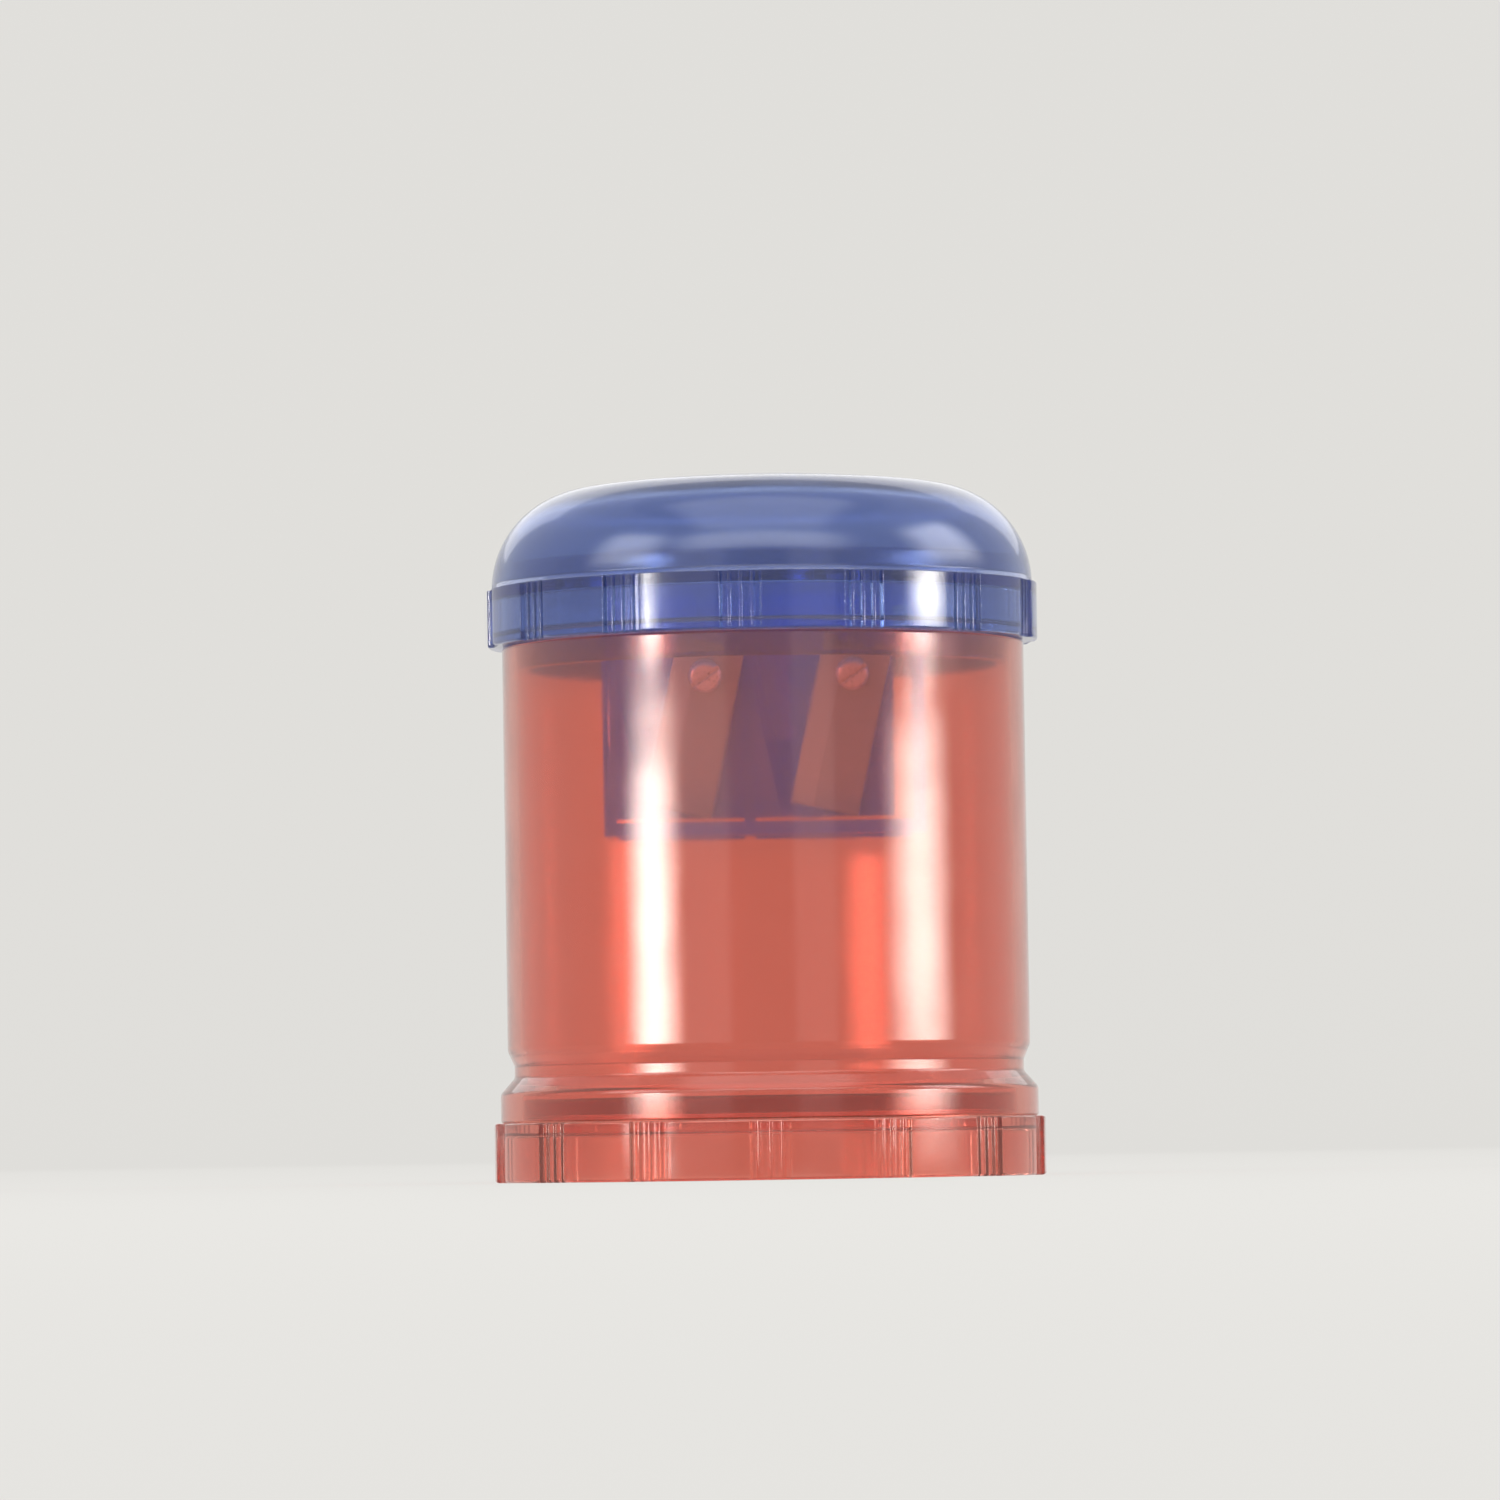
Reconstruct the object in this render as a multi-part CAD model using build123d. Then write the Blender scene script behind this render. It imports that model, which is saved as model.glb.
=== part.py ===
"""Two-hole pencil and crayon sharpener with a round shavings barrel.

Millimetres, +Z up. The origin is on the axis of the barrel, in the plane that
the base stands on. The blades face -Y. From the bottom up the pieces are the
base cap, the barrel, the head ring with the block under its deck, and the lid.
"""
import math
import os

from build123d import *

# Overall
HEIGHT = 74.0                 # base to the top of the dome
GRIP_R = 28.5                 # band and skirt, between the grip pads
PAD_R = 29.0                  # over the grip pads
BAND_H = 6.2                  # height of the base's band

# Grip pads, the same on the base's band and on the head's skirt
PAD_COUNT = 14
PAD_ANGLE = 17.0              # width of one pad, degrees
PAD_ROOT = 0.4                # how far a pad starts inside the band
PAD_ROUND = 0.25              # fillet on a pad's outer edges
BEAD_R = 0.3                  # fine upright beads between the pads
BEAD_SINK = 0.05              # how far a bead's centre lies inside the band
BEAD_PITCH = 2.4              # degrees between the beads
BEADS = 3                     # beads in each gap
BASE_PAD_TURN = 0.5           # turn of the base's pads from the front, in pitches
HEAD_PAD_TURN = 0.325         # the same for the head's pads

# Fit of both plugs in the barrel
BORE_R = 26.0                 # barrel's bore
PLUG_R = 25.88
PLUG_WALL = 1.2

# Fillets of the round mouldings
EDGE_ROUND = 0.3              # outer edges and rims
CORNER_ROUND = 0.4            # inner corners
LEAD_ROUND = 0.5              # leading edges of both plugs

# Base cap
BAND_WALL = 1.4
WEB_T = 1.2
FLOOR_T = 1.7
FLOOR_TOP = 8.7

# Barrel
BARREL_R = 27.5
COLLAR_R = 28.3               # flared foot that matches the band
COLLAR_TOP = 9.3
COLLAR_ROUND = 0.9
WAIST_R = 26.8
WAIST_Z = 11.6
WAIST_H = 1.2                 # height of the waist's upright part
WAIST_TOP = 13.8
WAIST_ROUND = 0.5
FLARE_ROUND = 1.5
BARREL_TOP = 56.3             # where the head rests

# Head ring
HEAD_PLUG_BOTTOM = 53.7
SKIRT_BORE = 26.6
LEDGE_T = 1.2                 # from the skirt in to the plug
SEAM_Z = 62.3                 # top of the skirt, where the lid rests
DECK_BOTTOM = 61.3
DECK_TOP = 62.7
UPSTAND_R = 26.5
UPSTAND_WALL = 1.2
UPSTAND_TOP = 64.6
HOLE_RIM_WALL = 1.3           # raised rims round the two holes
HOLE_RIM_TOP = 65.2
LEAD_IN = 0.7                 # chamfer at each hole's mouth

# Dome lid
LID_BORE = 26.75
LID_WALL = 1.6
CROWN_R = 152.8               # radius of the nearly flat top
CROWN_EDGE = 10.5             # outer radius between the top and the wall
INNER_EDGE = 7.5              # the same inside

# Block
BLOCK_X = 16.8                # half width
BLOCK_Y = 7.4                 # half depth
BLOCK_BOTTOM = 36.0
BLOCK_WALL = 1.4
BLOCK_ROUND = 1.2             # fillet on the upright edges
PLATE_T = 1.6                 # top plate, under the deck
SEAT_T = 2.2                  # front plates that carry the blades
CONE_TOP = 56.0
CONE_TIP = 38.0
CONE_WALL = 1.3
SCREW_Z = 53.0
SINK = 0.25                   # how far a seat is cut into its cone
RIB_X = -1.6                  # rib between the two stations
RIB_T = 1.2
RIB_FRONT = -2.6

# One station: hole's axis, hole's radius, radius at the tip, screw's offset, ends of its front plate
PENCIL = {"x": -10.9, "r": 4.1, "tip": 0.5, "screw": 4.8, "ends": (-BLOCK_X, RIB_X)}
CRAYON = {"x": 4.6, "r": 5.5, "tip": 1.5, "screw": 4.7, "ends": (RIB_X, 13.6)}

# Openings beside each cutting edge; offsets are from the hole's axis, positive towards +X
CHUTE_TOP = 46.0
CHUTE_FOOT = 39.0
CHUTE_LEFT = (-0.8, -0.55)    # at the top and the foot, in hole radii
CHUTE_RIGHT = (0.8, -1.2)     # at the top and the foot, millimetres
WINDOW_TOP = 54.0
WINDOW_SILL = 47.6
WINDOW_LEFT = -1.9
WINDOW_RIGHT = (0.6, 0.2)     # at the top and the sill

# Blades and screws
BLADE_L = 18.4
BLADE_W = 7.2
BLADE_T = 0.6
BLADE_TURN = 12.0             # skew of the cutting edge, degrees
BLADE_ABOVE = 3.6             # end of the blade above the screw
BEVEL_W = 2.4
BEVEL_T = 0.5
BLADE_HOLE_R = 1.35
PILOT_R = 1.05
THREAD_R = 1.15
THREAD_L = 2.3
BOSS_R = 2.4
BOSS_L = 3.4
HEAD_R = 1.75
HEAD_H = 1.1
HEAD_ROUND = 0.6
SLOT_W = 0.5
SLOT_DEPTH = 0.55
SLOT_TURN = 35.0              # degrees


def turned(*points, rounds=()):
    """Solid of revolution from (radius, height) points; rounds is (point index, fillet radius)."""
    outline = Polyline(*points, close=True)
    face = make_face(outline)
    for index, radius in rounds:
        corner = face.vertices().sort_by_distance(Vector(*points[index]))[0]
        face = fillet(corner, radius)
    return revolve(Plane.XZ * face, Axis.Z)


def disc(radius, bottom, top):
    """Upright cylinder on the main axis."""
    return Pos(0, 0, bottom) * extrude(Circle(radius), top - bottom)


def slab(x0, x1, y0, y1, z0, z1):
    """Box between two corners."""
    return Pos(x0, y0, z0) * Box(x1 - x0, y1 - y0, z1 - z0, align=(Align.MIN, Align.MIN, Align.MIN))


def grip_pads(bottom, top, turn):
    """Ring of raised pads; turn places the first one, in pitches from the front."""
    pitch = 360.0 / PAD_COUNT
    half = math.radians(PAD_ANGLE / 2)
    inner = GRIP_R - PAD_ROOT
    sector = Polygon(
        (0, 0),
        (2 * PAD_R * math.cos(half), -2 * PAD_R * math.sin(half)),
        (2 * PAD_R * math.cos(half), 2 * PAD_R * math.sin(half)),
        align=None,
    )
    outline = (Circle(PAD_R) - Circle(inner)) & sector
    pad = extrude(outline, top - bottom)
    outer_edges = [edge for edge in pad.edges() if edge.center().X > GRIP_R]
    pad = fillet(outer_edges, PAD_ROUND)
    front = -90.0
    return [
        Rot(0, 0, front + (turn + index) * pitch) * Pos(0, 0, bottom) * pad
        for index in range(PAD_COUNT)
    ]


def grip_beads(bottom, top, turn):
    """Fine upright beads in the gaps between the pads."""
    pitch = 360.0 / PAD_COUNT
    bead = Pos(GRIP_R - BEAD_SINK, 0, 0) * disc(BEAD_R, bottom, top)
    return [
        Rot(0, 0, -90.0 + (turn + index + 0.5) * pitch + (place - (BEADS - 1) / 2) * BEAD_PITCH) * bead
        for index in range(PAD_COUNT)
        for place in range(BEADS)
    ]


def base_cap():
    plug_bore = PLUG_R - PLUG_WALL
    web_bottom = BAND_H - WEB_T
    floor_bottom = FLOOR_TOP - FLOOR_T
    cap = turned(
        (0, floor_bottom), (plug_bore, floor_bottom), (plug_bore, web_bottom),
        (GRIP_R - BAND_WALL, web_bottom), (GRIP_R - BAND_WALL, 0), (GRIP_R, 0), (GRIP_R, BAND_H),
        (PLUG_R, BAND_H), (PLUG_R, FLOOR_TOP), (0, FLOOR_TOP),
        rounds=[(1, CORNER_ROUND), (3, CORNER_ROUND), (5, EDGE_ROUND), (8, LEAD_ROUND)],
    )
    for pad in grip_pads(0, BAND_H, BASE_PAD_TURN):
        cap += pad
    cap += grip_beads(EDGE_ROUND, BAND_H, BASE_PAD_TURN)
    return cap


def barrel():
    waist_bore = WAIST_R - (BARREL_R - BORE_R)
    low = WAIST_Z - WAIST_H / 2
    high = WAIST_Z + WAIST_H / 2
    edges = [(index, EDGE_ROUND) for index in (0, 1, 6, 7)]
    waists = [(index, WAIST_ROUND) for index in (3, 4, 9, 10)]
    flares = [(index, FLARE_ROUND) for index in (5, 8)]
    return turned(
        (BORE_R, BAND_H), (COLLAR_R, BAND_H), (COLLAR_R, COLLAR_TOP), (WAIST_R, low), (WAIST_R, high),
        (BARREL_R, WAIST_TOP), (BARREL_R, BARREL_TOP), (BORE_R, BARREL_TOP), (BORE_R, WAIST_TOP),
        (waist_bore, high), (waist_bore, low), (BORE_R, COLLAR_TOP),
        rounds=edges + waists + flares + [(2, COLLAR_ROUND), (11, CORNER_ROUND)],
    )


def head_ring():
    plug_bore = PLUG_R - PLUG_WALL
    ledge_top = BARREL_TOP + LEDGE_T
    upstand_bore = UPSTAND_R - UPSTAND_WALL
    ring = turned(
        (0, DECK_BOTTOM), (SKIRT_BORE, DECK_BOTTOM), (SKIRT_BORE, ledge_top), (plug_bore, ledge_top),
        (plug_bore, HEAD_PLUG_BOTTOM), (PLUG_R, HEAD_PLUG_BOTTOM), (PLUG_R, BARREL_TOP),
        (GRIP_R, BARREL_TOP), (GRIP_R, SEAM_Z), (UPSTAND_R, SEAM_Z), (UPSTAND_R, UPSTAND_TOP),
        (upstand_bore, UPSTAND_TOP), (upstand_bore, DECK_TOP), (0, DECK_TOP),
        rounds=[(index, EDGE_ROUND) for index in (3, 4, 7, 10, 11)]
        + [(1, CORNER_ROUND), (5, LEAD_ROUND), (12, CORNER_ROUND)],
    )
    for pad in grip_pads(BARREL_TOP, SEAM_Z, HEAD_PAD_TURN):
        ring += pad
    ring += grip_beads(BARREL_TOP + EDGE_ROUND, SEAM_Z, HEAD_PAD_TURN)
    for station in (PENCIL, CRAYON):
        rim = disc(station["r"] + HOLE_RIM_WALL, DECK_BOTTOM, HOLE_RIM_TOP)
        hole = disc(station["r"], DECK_BOTTOM, HOLE_RIM_TOP)
        mouth = Pos(0, 0, HOLE_RIM_TOP - LEAD_IN) * Cone(
            station["r"], station["r"] + LEAD_IN, LEAD_IN, align=(Align.CENTER, Align.CENTER, Align.MIN)
        )
        ring += Pos(station["x"], 0, 0) * rim
        ring -= Pos(station["x"], 0, 0) * (hole + mouth)
    return ring


def dome(wall_r, crown_r, edge_r, bottom):
    """Solid dome: an upright wall, a nearly flat crown, and a round edge between them."""
    crown_centre = HEIGHT - CROWN_R
    edge_x = wall_r - edge_r
    edge_z = crown_centre + math.sqrt((crown_r - edge_r) ** 2 - edge_x ** 2)
    scale = crown_r / (crown_r - edge_r)
    crown_end = (edge_x * scale, crown_centre + (edge_z - crown_centre) * scale)
    top = (0, crown_centre + crown_r)
    lean = math.atan2(crown_end[0], crown_end[1] - crown_centre)
    middle = (math.pi / 2 + lean) / 2
    crown_middle = (crown_r * math.sin(lean / 2), crown_centre + crown_r * math.cos(lean / 2))
    edge_middle = (edge_x + edge_r * math.sin(middle), edge_z + edge_r * math.cos(middle))
    outline = [
        Line((0, bottom), (wall_r, bottom)),
        Line((wall_r, bottom), (wall_r, edge_z)),
        ThreePointArc((wall_r, edge_z), edge_middle, crown_end),
        ThreePointArc(crown_end, crown_middle, top),
        Line(top, (0, bottom)),
    ]
    return revolve(Plane.XZ * make_face(outline), Axis.Z)


def dome_lid():
    shell = dome(GRIP_R, CROWN_R, CROWN_EDGE, SEAM_Z)
    hollow = dome(LID_BORE, CROWN_R - LID_WALL, INNER_EDGE, SEAM_Z - 1)
    return shell - hollow


def slope(station):
    """Half angle of a station's cone, radians."""
    return math.atan((station["r"] - station["tip"]) / (CONE_TOP - CONE_TIP))


def cone_radius(station, z):
    return station["r"] - (CONE_TOP - z) * math.tan(slope(station))


def tapered_hole(station, wall=0.0):
    """Cone and lead-in of one station, grown by wall."""
    height = CONE_TOP - CONE_TIP
    cone = Pos(0, 0, CONE_TIP) * Cone(
        station["tip"] + wall, station["r"] + wall, height, align=(Align.CENTER, Align.CENTER, Align.MIN)
    )
    return Pos(station["x"], 0, 0) * (cone + disc(station["r"] + wall, CONE_TOP, DECK_BOTTOM))


def seat(station):
    """Plane that a blade lies on: origin under the hole's front at the screw's height, +Z outwards."""
    angle = slope(station)
    return Plane(
        origin=(station["x"], -(cone_radius(station, SCREW_Z) - SINK), SCREW_Z),
        x_dir=(1, 0, 0),
        z_dir=(0, -math.cos(angle), -math.sin(angle)),
    )


def station_body(station):
    """Front plate, cone shell and screw boss of one station, cut off at the blade's seat."""
    left, right = station["ends"]
    plane = seat(station)
    reach = HEIGHT
    plate = plane * slab(left - station["x"], right - station["x"], -reach, reach, -SEAT_T, 0)
    boss = plane * Pos(station["screw"], 0, -BOSS_L) * extrude(Circle(BOSS_R), BOSS_L)
    behind = plane * slab(-reach, reach, -reach, reach, -reach, 0)
    body = (tapered_hole(station, CONE_WALL) & behind) + plate + boss
    return body & slab(-BLOCK_X, BLOCK_X, -BLOCK_Y, BLOCK_Y, CONE_TIP, DECK_BOTTOM - PLATE_T / 2)


def chip_window(station):
    """Openings beside the cutting edge, through which the shavings leave."""
    x = station["x"]
    chute = Polygon(
        (x + CHUTE_LEFT[0] * station["r"], CHUTE_TOP), (x + CHUTE_RIGHT[0], CHUTE_TOP),
        (x + CHUTE_RIGHT[1], CHUTE_FOOT), (x + CHUTE_LEFT[1] * station["r"], CHUTE_FOOT),
        align=None,
    )
    window = Polygon(
        (x + WINDOW_LEFT, WINDOW_SILL), (x + WINDOW_RIGHT[1], WINDOW_SILL),
        (x + WINDOW_RIGHT[0], WINDOW_TOP), (x + WINDOW_LEFT, WINDOW_TOP),
        align=None,
    )
    return extrude(Plane.XZ * (chute + window), BLOCK_Y, dir=(0, -1, 0))


def sharpener_block():
    frame = slab(-BLOCK_X, BLOCK_X, -BLOCK_Y, BLOCK_Y, BLOCK_BOTTOM, DECK_BOTTOM)
    frame = fillet(frame.edges().filter_by(Axis.Z), BLOCK_ROUND)
    inner_x = BLOCK_X - BLOCK_WALL
    frame -= slab(-inner_x, inner_x, -BLOCK_Y, BLOCK_Y, BLOCK_BOTTOM + BLOCK_WALL, DECK_BOTTOM - PLATE_T)
    frame -= slab(
        -inner_x, inner_x, -BLOCK_Y + BLOCK_WALL, BLOCK_Y - BLOCK_WALL, BLOCK_BOTTOM, BLOCK_BOTTOM + BLOCK_WALL
    )
    rib = slab(
        RIB_X - RIB_T / 2, RIB_X + RIB_T / 2, RIB_FRONT, BLOCK_Y - BLOCK_WALL, BLOCK_BOTTOM, DECK_BOTTOM
    )
    block = frame + rib
    for station in (PENCIL, CRAYON):
        block += station_body(station)
    for station in (PENCIL, CRAYON):
        block -= tapered_hole(station)
        block -= chip_window(station)
        pilot = Pos(station["screw"], 0, -THREAD_L) * extrude(Circle(PILOT_R), 2 * THREAD_L)
        block -= seat(station) * pilot
    return block


def blade(station):
    """Ground plate with one screw hole; its left edge is the cutting edge."""
    plate = Pos(0, BLADE_ABOVE - BLADE_L / 2, 0) * Box(
        BLADE_W, BLADE_L, BLADE_T, align=(Align.CENTER, Align.CENTER, Align.MIN)
    )
    plate -= extrude(Circle(BLADE_HOLE_R), BLADE_T)
    edge = -BLADE_W / 2
    bevel = Polygon((edge, BLADE_T), (edge + BEVEL_W, BLADE_T), (edge, BLADE_T - BEVEL_T), align=None)
    cutter = extrude(Plane.XZ * bevel, BLADE_L, both=True)
    plate -= cutter
    return seat(station) * Pos(station["screw"], 0, 0) * Rot(0, 0, -BLADE_TURN) * plate


def blade_screw(station):
    """Slotted pan-head screw on a blade."""
    head = Pos(0, 0, BLADE_T) * extrude(Circle(HEAD_R), HEAD_H)
    head = fillet(head.edges().group_by(Axis.Z)[-1], HEAD_ROUND)
    shank = Pos(0, 0, -THREAD_L) * extrude(Circle(THREAD_R), THREAD_L + BLADE_T)
    slot = Pos(0, 0, BLADE_T + HEAD_H) * Box(2 * HEAD_R, SLOT_W, 2 * SLOT_DEPTH)
    screw = head + shank - Rot(0, 0, SLOT_TURN) * slot
    return seat(station) * Pos(station["screw"], 0, 0) * screw


def write(name, shape):
    os.makedirs("parts", exist_ok=True)
    shape.label = name
    export_step(shape, f"parts/{name}.step")


def main():
    write("base_cap", base_cap())
    write("barrel", barrel())
    write("head_ring", head_ring())
    write("dome_lid", dome_lid())
    write("sharpener_block", sharpener_block())
    for name, station in (("pencil", PENCIL), ("crayon", CRAYON)):
        write(f"{name}_blade", blade(station))
        write(f"{name}_blade_screw", blade_screw(station))


main()
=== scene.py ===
"""Looks of the two-hole canister sharpener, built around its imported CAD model.

The round clear mouldings are rebuilt here as fine lathed meshes with rounded edges,
to the CAD model's own sizes. The block, the blades and the screws keep their CAD meshes.
Lengths in this file are millimetres until a mesh or a place is made, then metres.
"""
import math

import bpy
from mathutils import Matrix, Vector


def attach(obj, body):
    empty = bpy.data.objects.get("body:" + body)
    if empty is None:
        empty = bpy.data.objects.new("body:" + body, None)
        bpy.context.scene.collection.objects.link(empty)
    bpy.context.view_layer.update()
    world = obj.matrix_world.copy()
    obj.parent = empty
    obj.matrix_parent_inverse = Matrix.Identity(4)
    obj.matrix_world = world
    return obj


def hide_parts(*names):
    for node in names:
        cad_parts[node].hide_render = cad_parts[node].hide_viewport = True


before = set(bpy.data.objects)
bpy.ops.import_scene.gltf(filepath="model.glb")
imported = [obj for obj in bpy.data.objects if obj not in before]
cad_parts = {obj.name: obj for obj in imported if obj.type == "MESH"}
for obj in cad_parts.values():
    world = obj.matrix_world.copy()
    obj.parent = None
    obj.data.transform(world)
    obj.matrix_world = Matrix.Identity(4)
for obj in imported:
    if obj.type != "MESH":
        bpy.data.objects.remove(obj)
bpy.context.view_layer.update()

MM = 0.001

# Sizes shared with the CAD model
HEIGHT = 74.0
GRIP_R = 28.5
PAD_R = 29.0
PAD_COUNT = 14
PAD_ANGLE = 17.0              # degrees that a pad's face spans
BEAD_R = 0.3
BEAD_SINK = 0.05              # how far a bead's middle lies inside the grip radius
BEAD_PITCH = 2.4              # degrees
BEADS = 3                     # in each gap between two pads
BASE_PAD_TURN = 0.5           # where the first pad stands, in pad pitches from the front
HEAD_PAD_TURN = 0.325
BORE_R = 26.0
PLUG_R = 25.88
PLUG_WALL = 1.2
BAND_H = 6.2
BAND_WALL = 1.4
WEB_T = 1.2
FLOOR_T = 1.7
FLOOR_TOP = 8.7
BARREL_R = 27.5
COLLAR_R = 28.3
COLLAR_TOP = 9.3
WAIST_R = 26.8
WAIST_Z = 11.6
WAIST_H = 1.2
WAIST_TOP = 13.8
BARREL_TOP = 56.3
HEAD_PLUG_BOTTOM = 53.7
SKIRT_BORE = 26.6
LEDGE_T = 1.2
SEAM_Z = 62.3
DECK_BOTTOM = 61.3
DECK_TOP = 62.7
UPSTAND_R = 26.5
UPSTAND_WALL = 1.2
UPSTAND_TOP = 64.6
HOLE_RIM_WALL = 1.3
HOLE_RIM_TOP = 65.2
LEAD_IN = 0.7
HOLES = ((-10.9, 4.1), (4.6, 5.5))     # place along X and radius of the pencil's and the crayon's hole
LID_BORE = 26.75
LID_WALL = 1.6
CROWN_R = 152.8               # radius of the lid's shallow top
CROWN_EDGE = 10.5             # radius of the rounding round that top, outside
INNER_EDGE = 7.5              # and inside

GAP = 0.02                    # kept open between faces that rest on each other
RIM_EDGE = 0.05               # bevel on the lid's lower rim
PAD_FLANK = 0.6               # degrees over which a pad's side rises
ARC_STEPS = 7                 # segments in each rounded corner
TURN_STEPS = 224              # segments round a plain lathed piece
DOME_STEPS = 28               # segments up the dome's edge, and as many along its crown
SIDE_STEPS = 4                # segments across a pad's side
PAD_STEPS = 8                 # segments across a pad's face
BEAD_STEPS = 8                # segments over a bead
FOLLOW_MARGIN = 0.35          # how far inside the grip radius the surface starts to follow the pads
SMOOTH_BELOW = 35.0           # degrees; sharper edges than this stay edges
RIM_SINK = 0.3                # how far above the deck's underside a hole's rim starts
CUT_PAST = 1.0                # how far a hole's cutter reaches past the surfaces it cuts


# ---------------------------------------------------------------- meshes

def rounded(corners):
    """Closed outline from (radius, height, fillet) corners, with an arc at each filleted one."""
    points = []
    count = len(corners)
    for index, (r, z, fillet) in enumerate(corners):
        here = Vector((r, z))
        if not fillet:
            points.append((r, z))
            continue
        before = (Vector(corners[index - 1][:2]) - here).normalized()
        after = (Vector(corners[(index + 1) % count][:2]) - here).normalized()
        half = before.angle(after) / 2
        centre = here + (before + after).normalized() * fillet / math.sin(half)
        start = here + before * fillet / math.tan(half) - centre
        end = here + after * fillet / math.tan(half) - centre
        sweep = start.angle_signed(end)
        for step in range(ARC_STEPS + 1):
            turn = Matrix.Rotation(-sweep * step / ARC_STEPS, 2)
            place = centre + turn @ start
            points.append((place.x, place.y))
    return points


def plain_turn():
    """Angles and pad heights of a piece with no grip pads."""
    return [(2 * math.pi * step / TURN_STEPS, 0.0) for step in range(TURN_STEPS)]


def padded_turn(turn):
    """Angles round a padded piece, each with how far the grip stands out there, in pad heights."""
    pitch = 360.0 / PAD_COUNT
    samples = []
    for index in range(PAD_COUNT):
        middle = -90.0 + (turn + index) * pitch
        half = PAD_ANGLE / 2
        gap = pitch - PAD_ANGLE
        for step in range(SIDE_STEPS + 1):
            share = step / SIDE_STEPS
            lift = share * share * (3 - 2 * share)
            samples.append((middle - half - PAD_FLANK + PAD_FLANK * share, lift))
        for step in range(1, PAD_STEPS):
            samples.append((middle - half + PAD_ANGLE * step / PAD_STEPS, 1.0))
        for step in range(SIDE_STEPS + 1):
            share = step / SIDE_STEPS
            lift = 1 - share * share * (3 - 2 * share)
            samples.append((middle + half + PAD_FLANK * share, lift))
        for place in range(BEADS):
            bead = middle + half + gap / 2 + (place - (BEADS - 1) / 2) * BEAD_PITCH
            reach = math.degrees(BEAD_R / GRIP_R)
            for step in range(BEAD_STEPS + 1):
                side = 2 * step / BEAD_STEPS - 1
                rise = BEAD_R * math.sqrt(1 - side * side) - BEAD_SINK
                samples.append((bead + reach * side, max(rise, 0) / (PAD_R - GRIP_R)))
    return [(math.radians(angle), lift) for angle, lift in samples]


def lathe(name, outline, samples, x=0.0):
    """Ring or disc turned from an outline, about an upright axis at x. Points beyond the grip
    radius, or just inside it, follow the pads."""
    vertices = []
    faces = []
    rows = []
    for r, z in outline:
        if r < 1e-6:
            rows.append([len(vertices)])
            vertices.append((x * MM, 0.0, z * MM))
            continue
        row = []
        for angle, lift in samples:
            grow = (PAD_R - GRIP_R) * lift if r > GRIP_R - FOLLOW_MARGIN else 0.0
            row.append(len(vertices))
            vertices.append(
                ((x + (r + grow) * math.cos(angle)) * MM, (r + grow) * math.sin(angle) * MM, z * MM)
            )
        rows.append(row)
    closed = len(rows[0]) > 1
    last = len(rows) if closed else len(rows) - 1
    count = len(samples)
    for index in range(last):
        lower = rows[index]
        upper = rows[(index + 1) % len(rows)]
        for step in range(count):
            follow = (step + 1) % count
            if len(lower) == 1:
                faces.append((lower[0], upper[follow], upper[step]))
            elif len(upper) == 1:
                faces.append((lower[step], lower[follow], upper[0]))
            else:
                faces.append((lower[step], lower[follow], upper[follow], upper[step]))
    mesh = bpy.data.meshes.new(name)
    mesh.from_pydata(vertices, [], faces)
    mesh.validate()
    piece = bpy.data.objects.new(name, mesh)
    bpy.context.scene.collection.objects.link(piece)
    mesh.shade_smooth()
    normals = piece.modifiers.new("even normals", "WEIGHTED_NORMAL")
    normals.weight = 100
    return piece


def dome_line(wall_r, crown_r, edge_r, bottom):
    """Points up a dome's wall, round its edge and along its crown to the axis."""
    crown_centre = HEIGHT - CROWN_R
    edge_x = wall_r - edge_r
    edge_z = crown_centre + math.sqrt((crown_r - edge_r) ** 2 - edge_x ** 2)
    lean = math.asin(edge_x / (crown_r - edge_r))
    points = [(wall_r, bottom)]
    for step in range(DOME_STEPS + 1):
        angle = math.pi / 2 - (math.pi / 2 - lean) * step / DOME_STEPS
        points.append((edge_x + edge_r * math.sin(angle), edge_z + edge_r * math.cos(angle)))
    for step in range(1, DOME_STEPS + 1):
        angle = lean * (1 - step / DOME_STEPS)
        points.append((crown_r * math.sin(angle), crown_centre + crown_r * math.cos(angle)))
    return points


# ---------------------------------------------------------------- materials

def node_material(name):
    material = bpy.data.materials.new(name)
    material.use_nodes = True
    tree = material.node_tree
    tree.nodes.clear()
    output = tree.nodes.new("ShaderNodeOutputMaterial")
    return material, tree, output


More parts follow.
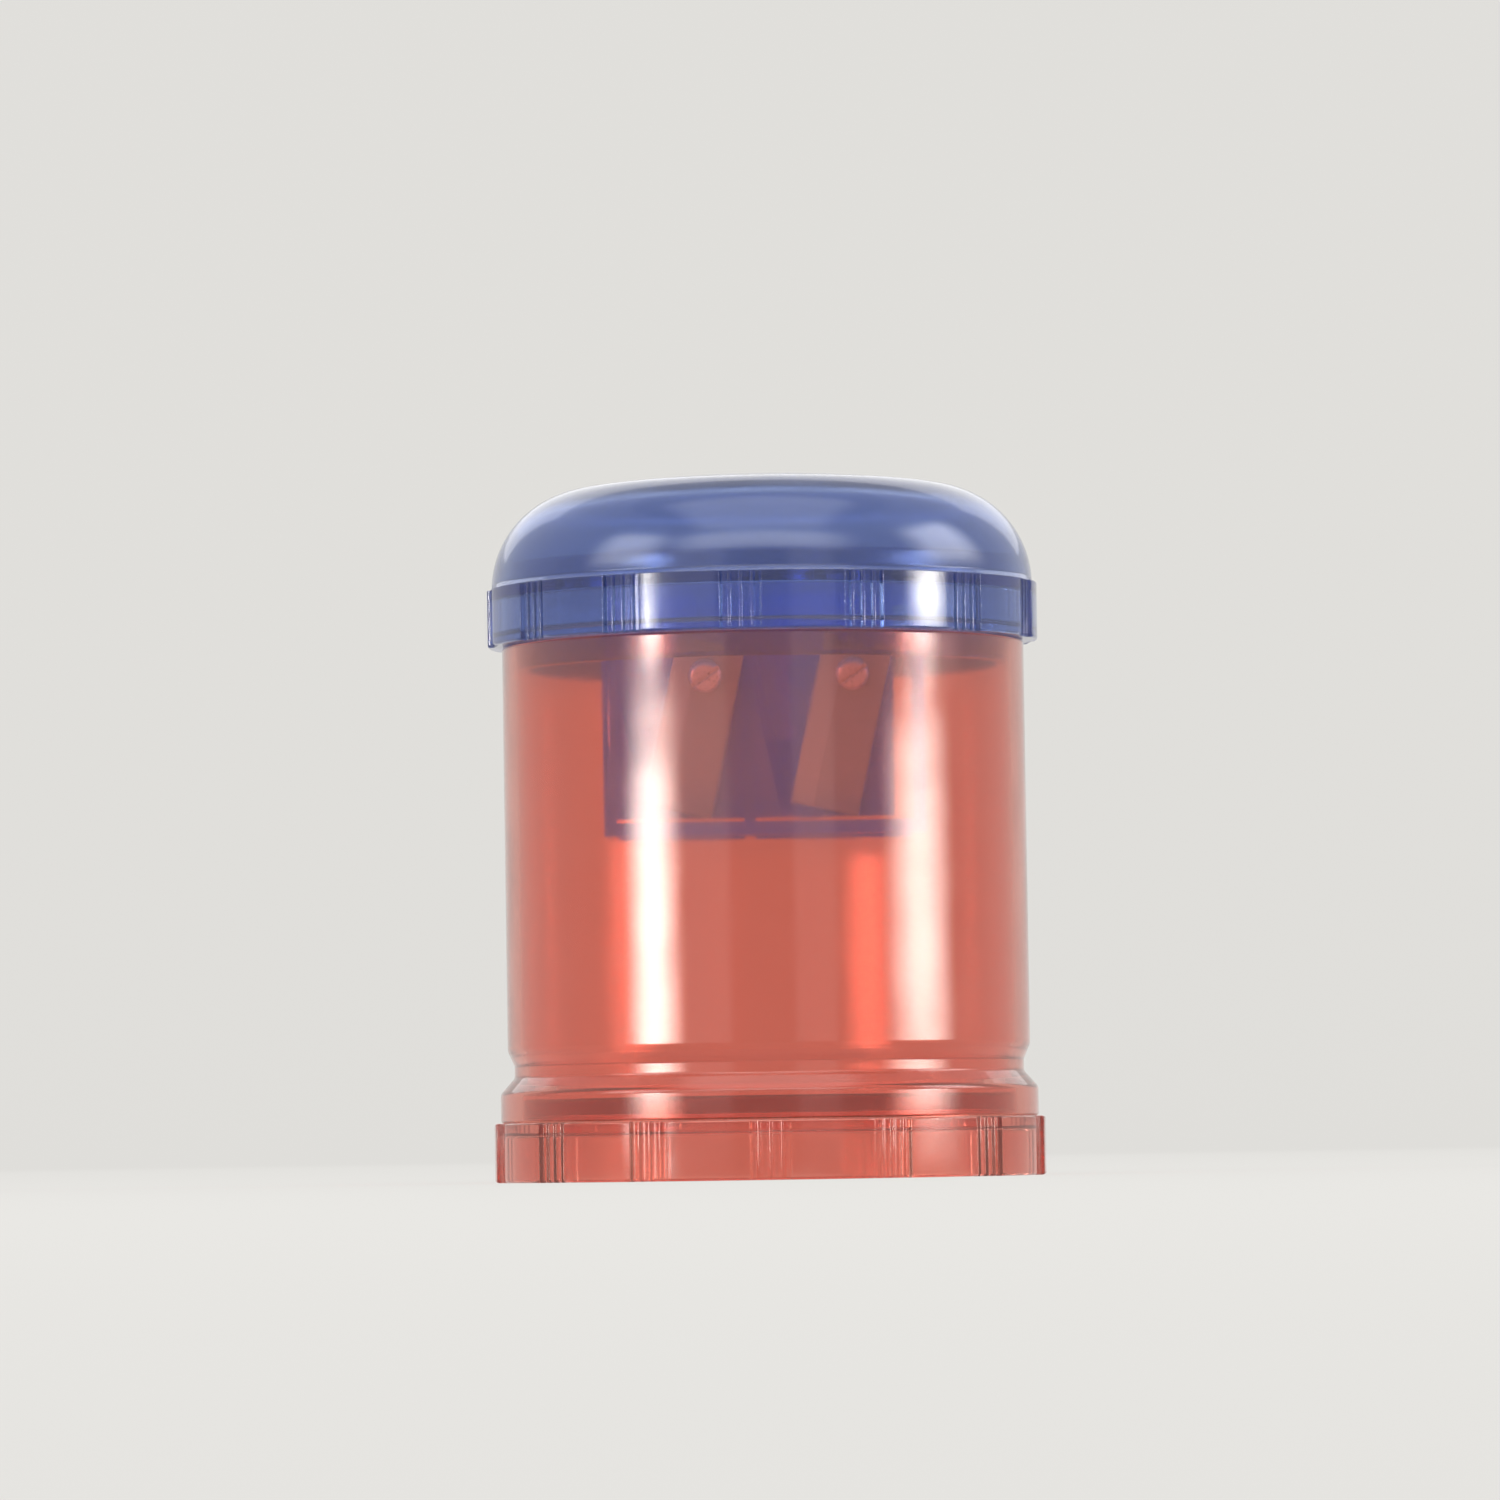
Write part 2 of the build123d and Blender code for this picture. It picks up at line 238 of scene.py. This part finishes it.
def clear_plastic(name, tint, through, milk, absorb, density, sheen=0.0, gloss=(0.05, 0.13)):
    """Clear coloured moulding. tint is what one wall lets through, through is the same for the light
    that reaches what is inside, and milk is the share of the light that the plastic scatters.
    gloss is the lowest and the highest roughness, from handling."""
    material, tree, output = node_material(name)
    skin = tree.nodes.new("ShaderNodeBsdfPrincipled")
    skin.inputs["Base Color"].default_value = (*tint, 1)
    skin.inputs["Transmission Weight"].default_value = 1.0 - milk
    skin.inputs["IOR"].default_value = 1.5
    skin.inputs["Sheen Weight"].default_value = sheen
    skin.inputs["Sheen Roughness"].default_value = 0.45
    place = tree.nodes.new("ShaderNodeTexCoord")
    handling = tree.nodes.new("ShaderNodeTexNoise")
    handling.inputs["Scale"].default_value = 140
    handling.inputs["Detail"].default_value = 5
    rub = tree.nodes.new("ShaderNodeMapRange")
    rub.inputs["From Min"].default_value = 0.35
    rub.inputs["From Max"].default_value = 0.75
    rub.inputs["To Min"].default_value = gloss[0]
    rub.inputs["To Max"].default_value = gloss[1]
    flow = tree.nodes.new("ShaderNodeTexNoise")
    flow.inputs["Scale"].default_value = 90
    flow.inputs["Detail"].default_value = 1
    wave = tree.nodes.new("ShaderNodeBump")
    wave.inputs["Strength"].default_value = 0.10
    wave.inputs["Distance"].default_value = 0.0006
    tree.links.new(place.outputs["Object"], handling.inputs["Vector"])
    tree.links.new(place.outputs["Object"], flow.inputs["Vector"])
    tree.links.new(handling.outputs["Fac"], rub.inputs["Value"])
    tree.links.new(rub.outputs["Result"], skin.inputs["Roughness"])
    tree.links.new(flow.outputs["Fac"], wave.inputs["Height"])
    tree.links.new(wave.outputs["Normal"], skin.inputs["Normal"])
    open_way = tree.nodes.new("ShaderNodeBsdfTransparent")
    open_way.inputs["Color"].default_value = (*through, 1)
    path = tree.nodes.new("ShaderNodeLightPath")
    mix = tree.nodes.new("ShaderNodeMixShader")
    tree.links.new(path.outputs["Is Shadow Ray"], mix.inputs["Fac"])
    tree.links.new(skin.outputs[0], mix.inputs[1])
    tree.links.new(open_way.outputs[0], mix.inputs[2])
    tree.links.new(mix.outputs[0], output.inputs["Surface"])
    inside = tree.nodes.new("ShaderNodeVolumeAbsorption")
    inside.inputs["Color"].default_value = (*absorb, 1)
    inside.inputs["Density"].default_value = density
    tree.links.new(inside.outputs[0], output.inputs["Volume"])
    return material


def steel(name, colour, roughness, grain, metal):
    """Steel with fine grinding lines. grain is how closely they lie along X, Y and Z, in lines per metre,
    and metal is the share of the look that is bare metal."""
    material, tree, output = node_material(name)
    skin = tree.nodes.new("ShaderNodeBsdfPrincipled")
    skin.inputs["Metallic"].default_value = metal
    place = tree.nodes.new("ShaderNodeTexCoord")
    stretch = tree.nodes.new("ShaderNodeMapping")
    stretch.inputs["Rotation"].default_value = (0, math.radians(12), 0)
    stretch.inputs["Scale"].default_value = grain
    lines = tree.nodes.new("ShaderNodeTexNoise")
    lines.inputs["Scale"].default_value = 1
    lines.inputs["Detail"].default_value = 6
    shade = tree.nodes.new("ShaderNodeMix")
    shade.data_type = "RGBA"
    shade.inputs["A"].default_value = (*(0.72 * part for part in colour), 1)
    shade.inputs["B"].default_value = (*colour, 1)
    rub = tree.nodes.new("ShaderNodeMapRange")
    rub.inputs["To Min"].default_value = roughness - 0.08
    rub.inputs["To Max"].default_value = roughness + 0.12
    groove = tree.nodes.new("ShaderNodeBump")
    groove.inputs["Strength"].default_value = 0.25
    groove.inputs["Distance"].default_value = 0.00004
    tree.links.new(place.outputs["Object"], stretch.inputs["Vector"])
    tree.links.new(stretch.outputs["Vector"], lines.inputs["Vector"])
    tree.links.new(lines.outputs["Fac"], shade.inputs["Factor"])
    tree.links.new(shade.outputs["Result"], skin.inputs["Base Color"])
    tree.links.new(lines.outputs["Fac"], rub.inputs["Value"])
    tree.links.new(rub.outputs["Result"], skin.inputs["Roughness"])
    tree.links.new(lines.outputs["Fac"], groove.inputs["Height"])
    tree.links.new(groove.outputs["Normal"], skin.inputs["Normal"])
    tree.links.new(skin.outputs[0], output.inputs["Surface"])
    return material


def dress(piece, material):
    piece.data.materials.clear()
    piece.data.materials.append(material)


clear_red = clear_plastic(
    "clear_red", tint=(0.81, 0.36, 0.285), through=(0.98, 0.93, 0.93), milk=0.03,
    absorb=(0.8, 0.3, 0.2), density=100, sheen=0.08,
)
clear_blue = clear_plastic(
    "clear_blue", tint=(0.27, 0.34, 0.57), through=(0.8, 0.88, 0.97), milk=0.06,
    absorb=(0.2, 0.4, 0.8), density=120, sheen=0.10, gloss=(0.09, 0.16),
)
block_blue = clear_plastic(
    "block_blue", tint=(0.17, 0.27, 0.78), through=(0.8, 0.88, 0.97), milk=0.35,
    absorb=(0.2, 0.4, 0.8), density=100,
)
blade_steel = steel("blade_steel", (0.42, 0.50, 0.64), 0.36, (600, 600, 16000), metal=0.75)
screw_steel = steel("screw_steel", (0.78, 0.82, 0.90), 0.28, (4000, 4000, 4000), metal=0.7)


# ---------------------------------------------------------------- pieces

def make_barrel():
    waist_bore = WAIST_R - (BARREL_R - BORE_R)
    low = WAIST_Z - WAIST_H / 2
    high = WAIST_Z + WAIST_H / 2
    foot = BAND_H + GAP
    top = BARREL_TOP - GAP
    outline = rounded([
        (BORE_R, foot, 0.3), (COLLAR_R, foot, 0.3), (COLLAR_R, COLLAR_TOP, 0.9), (WAIST_R, low, 0.5),
        (WAIST_R, high, 0.5), (BARREL_R, WAIST_TOP, 1.5), (BARREL_R, top, 0.3), (BORE_R, top, 0.3),
        (BORE_R, WAIST_TOP, 1.5), (waist_bore, high, 0.5), (waist_bore, low, 0.5), (BORE_R, COLLAR_TOP, 0.4),
    ])
    piece = lathe("barrel_wall", outline, plain_turn())
    dress(piece, clear_red)
    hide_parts("barrel")
    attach(piece, "barrel")


def make_lid():
    rim = SEAM_Z + GAP
    outer = dome_line(GRIP_R, CROWN_R, CROWN_EDGE, rim + RIM_EDGE)
    inner = dome_line(LID_BORE, CROWN_R - LID_WALL, INNER_EDGE, rim + RIM_EDGE)
    outline = list(reversed(inner)) + [(LID_BORE + RIM_EDGE, rim), (GRIP_R - RIM_EDGE, rim)] + outer
    piece = lathe("dome_shell", outline, plain_turn())
    dress(piece, clear_blue)
    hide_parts("dome_lid")
    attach(piece, "lid")


def make_base():
    plug_bore = PLUG_R - PLUG_WALL
    web_bottom = BAND_H - WEB_T
    floor_bottom = FLOOR_TOP - FLOOR_T
    outline = rounded([
        (0, floor_bottom, 0), (plug_bore, floor_bottom, 0.4), (plug_bore, web_bottom, 0.2),
        (GRIP_R - BAND_WALL, web_bottom, 0.4), (GRIP_R - BAND_WALL, 0, 0.2), (GRIP_R, 0, 0.3),
        (GRIP_R, BAND_H, 0.25), (PLUG_R, BAND_H, 0.1), (PLUG_R, FLOOR_TOP, 0.5), (0, FLOOR_TOP, 0),
    ])
    piece = lathe("base_cup", outline, padded_turn(BASE_PAD_TURN))
    dress(piece, clear_red)
    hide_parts("base_cap")
    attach(piece, "base")


def cut(piece, tool, operation):
    """Joins or subtracts a tool from a piece and deletes the tool."""
    change = piece.modifiers.new("cut", "BOOLEAN")
    change.operation = operation
    change.solver = "EXACT"
    change.object = tool
    seen = piece.evaluated_get(bpy.context.evaluated_depsgraph_get())
    mesh = bpy.data.meshes.new_from_object(seen)
    piece.modifiers.clear()
    piece.data = mesh
    bpy.data.objects.remove(tool)


def make_head():
    plug_bore = PLUG_R - PLUG_WALL
    ledge_top = BARREL_TOP + LEDGE_T
    upstand_bore = UPSTAND_R - UPSTAND_WALL
    rim_bottom = DECK_BOTTOM + RIM_SINK
    cut_bottom = DECK_BOTTOM - CUT_PAST
    cut_top = HOLE_RIM_TOP + CUT_PAST
    outline = rounded([
        (0, DECK_BOTTOM, 0), (SKIRT_BORE, DECK_BOTTOM, 0.4), (SKIRT_BORE, ledge_top, 0.3),
        (plug_bore, ledge_top, 0.3), (plug_bore, HEAD_PLUG_BOTTOM, 0.3), (PLUG_R, HEAD_PLUG_BOTTOM, 0.5),
        (PLUG_R, BARREL_TOP, 0.1), (GRIP_R, BARREL_TOP, 0.3), (GRIP_R, SEAM_Z, 0.06),
        (UPSTAND_R, SEAM_Z, 0.1), (UPSTAND_R, UPSTAND_TOP, 0.3), (upstand_bore, UPSTAND_TOP, 0.3),
        (upstand_bore, DECK_TOP, 0.4), (0, DECK_TOP, 0),
    ])
    piece = lathe("grip_ring", outline, padded_turn(HEAD_PAD_TURN))
    piece.modifiers.clear()
    for x, r in HOLES:
        rim_r = r + HOLE_RIM_WALL
        rim = rounded([
            (0, rim_bottom, 0), (rim_r, rim_bottom, 0), (rim_r, HOLE_RIM_TOP, 0.3), (0, HOLE_RIM_TOP, 0),
        ])
        cut(piece, lathe("rim", rim, plain_turn(), x), "UNION")
        hole = rounded([
            (0, cut_bottom, 0), (r, cut_bottom, 0), (r, HOLE_RIM_TOP - LEAD_IN, 0.4),
            (r + LEAD_IN + CUT_PAST, cut_top, 0), (0, cut_top, 0),
        ])
        cut(piece, lathe("hole", hole, plain_turn(), x), "DIFFERENCE")
    piece.data.shade_smooth()
    piece.data.set_sharp_from_angle(angle=math.radians(SMOOTH_BELOW))
    normals = piece.modifiers.new("even normals", "WEIGHTED_NORMAL")
    normals.keep_sharp = True
    dress(piece, clear_blue)
    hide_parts("head_ring")
    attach(piece, "head")


def keep_node(node, material, edge):
    """A CAD mesh that keeps its shape, with a new finish and its sharp edges broken by edge millimetres."""
    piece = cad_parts[node]
    dress(piece, material)
    weld = piece.modifiers.new("weld", "WELD")
    weld.merge_threshold = 0.00001
    flat = piece.modifiers.new("flat faces", "DECIMATE")
    flat.decimate_type = "DISSOLVE"
    flat.angle_limit = math.radians(1)
    broken = piece.modifiers.new("broken edges", "BEVEL")
    broken.width = edge * MM
    broken.segments = 3
    broken.limit_method = "ANGLE"
    broken.angle_limit = math.radians(SMOOTH_BELOW)
    broken.harden_normals = True


make_barrel()
make_lid()
make_base()
make_head()
keep_node("sharpener_block", block_blue, 0.2)
keep_node("pencil_blade", blade_steel, 0.05)
keep_node("crayon_blade", blade_steel, 0.05)
keep_node("pencil_blade_screw", screw_steel, 0.06)
keep_node("crayon_blade_screw", screw_steel, 0.06)


# ---------------------------------------------------------------- stage

CAMERA_DISTANCE = 880.0
CAMERA_Z = 4.0
VIEW_WIDTH = 158.06           # width of the frame at the object's axis
AIM_X = -1.5
AIM_Z = 45.2
ROLL = 0.9                    # degrees
WHITE = (1.0, 1.0, 1.0)
CREAM = (1.0, 0.96, 0.90)


def add_camera():
    data = bpy.data.cameras.new("camera")
    camera = bpy.data.objects.new("camera", data)
    bpy.context.scene.collection.objects.link(camera)
    place = Vector((AIM_X, -CAMERA_DISTANCE, CAMERA_Z)) * MM
    aim = Vector((AIM_X, 0, AIM_Z)) * MM
    look = (aim - place).to_track_quat("-Z", "Y").to_matrix().to_4x4()
    camera.matrix_world = Matrix.Translation(place) @ look @ Matrix.Rotation(math.radians(-ROLL), 4, "Z")
    data.sensor_width = 36.0
    data.lens = data.sensor_width * CAMERA_DISTANCE / VIEW_WIDTH
    data.clip_start = 0.01
    data.clip_end = 20
    bpy.context.scene.camera = camera


def feather(light, share):
    """Fades a softbox towards its edges; share is the part of its width and of its height to fade over."""
    light.data.use_nodes = True
    tree = light.data.node_tree
    glow = tree.nodes["Emission"]
    place = tree.nodes.new("ShaderNodeNewGeometry")
    sides = tree.nodes.new("ShaderNodeSeparateXYZ")
    both = tree.nodes.new("ShaderNodeMath")
    both.operation = "MULTIPLY"
    tree.links.new(place.outputs["Parametric"], sides.inputs[0])
    for index, side in enumerate(("X", "Y")):
        inwards = tree.nodes.new("ShaderNodeMath")
        inwards.operation = "PINGPONG"
        inwards.inputs[1].default_value = 0.5
        ramp = tree.nodes.new("ShaderNodeMapRange")
        ramp.interpolation_type = "SMOOTHSTEP"
        ramp.inputs["From Max"].default_value = share[index]
        tree.links.new(sides.outputs[side], inwards.inputs[0])
        tree.links.new(inwards.outputs[0], ramp.inputs["Value"])
        tree.links.new(ramp.outputs["Result"], both.inputs[index])
    tree.links.new(both.outputs[0], glow.inputs["Strength"])


def add_panel(name, azimuth, height, distance, size, radiance, soft=(0.0, 0.0), tint=WHITE, elevation=0.0):
    """Softbox seen from the object at an azimuth measured from the camera, positive to the right. It faces
    a point on the object's axis at that height. size is its width and height, and soft is the share of
    each over which it fades at an edge."""
    data = bpy.data.lights.new(name, "AREA")
    data.shape = "RECTANGLE"
    data.size = size[0] * MM
    data.size_y = size[1] * MM
    data.color = tint
    data.energy = radiance * math.pi * data.size * data.size_y
    light = bpy.data.objects.new(name, data)
    bpy.context.scene.collection.objects.link(light)
    a = math.radians(azimuth)
    e = math.radians(elevation)
    aim = Vector((0, 0, height)) * MM
    way = Vector((math.sin(a) * math.cos(e), -math.cos(a) * math.cos(e), math.sin(e)))
    light.location = aim + way * distance * MM
    light.rotation_euler = (-way).to_track_quat("-Z", "Y").to_euler()
    light.visible_camera = False
    if any(soft):
        feather(light, soft)


def add_stage():
    """Round floor that turns up into a backdrop all the way round. Its lengths are metres."""
    floor_r = 1.3
    bend = 0.5
    wall_top = 3.0
    steps = 16
    turns = 96
    profile = [(0.0, 0.0), (floor_r, 0.0)]
    for step in range(1, steps + 1):
        angle = math.pi / 2 * step / steps
        profile.append((floor_r + bend * math.sin(angle), bend - bend * math.cos(angle)))
    profile.append((floor_r + bend, wall_top))
    vertices = [(0.0, 0.0, 0.0)]
    faces = []
    for r, z in profile[1:]:
        for turn in range(turns):
            angle = 2 * math.pi * turn / turns
            vertices.append((r * math.cos(angle), r * math.sin(angle), z))
    for turn in range(turns):
        follow = (turn + 1) % turns
        faces.append((0, 1 + turn, 1 + follow))
        for ring in range(len(profile) - 2):
            low = 1 + ring * turns
            faces.append((low + turn, low + turns + turn, low + turns + follow, low + follow))
    mesh = bpy.data.meshes.new("stage")
    mesh.from_pydata(vertices, [], faces)
    mesh.shade_smooth()
    stage = bpy.data.objects.new("stage", mesh)
    bpy.context.scene.collection.objects.link(stage)
    material, tree, output = node_material("stage_paper")
    paper = tree.nodes.new("ShaderNodeBsdfPrincipled")
    paper.inputs["Base Color"].default_value = (0.09, 0.09, 0.088, 1)
    paper.inputs["Roughness"].default_value = 0.9
    paper.inputs["Specular IOR Level"].default_value = 0.0
    paper.inputs["Emission Color"].default_value = (1.0, 0.985, 0.95, 1)
    paper.inputs["Emission Strength"].default_value = 0.67
    tree.links.new(paper.outputs[0], output.inputs["Surface"])
    dress(stage, material)


def add_world():
    world = bpy.data.worlds.new("studio")
    world.use_nodes = True
    back = world.node_tree.nodes["Background"]
    back.inputs["Color"].default_value = (1.0, 0.99, 0.97, 1)
    back.inputs["Strength"].default_value = 0.55
    bpy.context.scene.world = world


add_camera()
add_stage()
add_world()

# azimuth, height and distance, then the size and the radiance
add_panel("strip_left", -50, 46, 700, (380, 100), 24, soft=(0.5, 0.3), tint=CREAM)
add_panel("spot_left", -49, 106, 700, (190, 26), 60, soft=(0.5, 0.5), tint=CREAM)
add_panel("side_left", -62, 480, 760, (620, 700), 4.0, soft=(0.4, 0.3))
add_panel("strip_right", 70, 46, 700, (520, 100), 16, soft=(0.5, 0.3), tint=CREAM)
add_panel("spot_right", 72, 106, 700, (310, 26), 60, soft=(0.5, 0.5), tint=CREAM)
add_panel("side_right", 90, 480, 760, (700, 700), 5.0, soft=(0.4, 0.3))
add_panel("front_left", -29, 35, 1100, (600, 900), 0.6, soft=(0.15, 0.1), elevation=8)
add_panel("front_right", 21, 35, 1100, (420, 900), 0.5, soft=(0.15, 0.1), elevation=8)
add_panel("brow", 0, 35, 900, (1500, 460), 3.0, soft=(0.3, 0.4), elevation=40)
add_panel("top", 0, 35, 900, (900, 900), 1.3, soft=(0.2, 0.2), elevation=75)
add_panel("back", 180, 35, 900, (1200, 500), 0.8, elevation=30)

bpy.context.scene.view_settings.view_transform = "Standard"
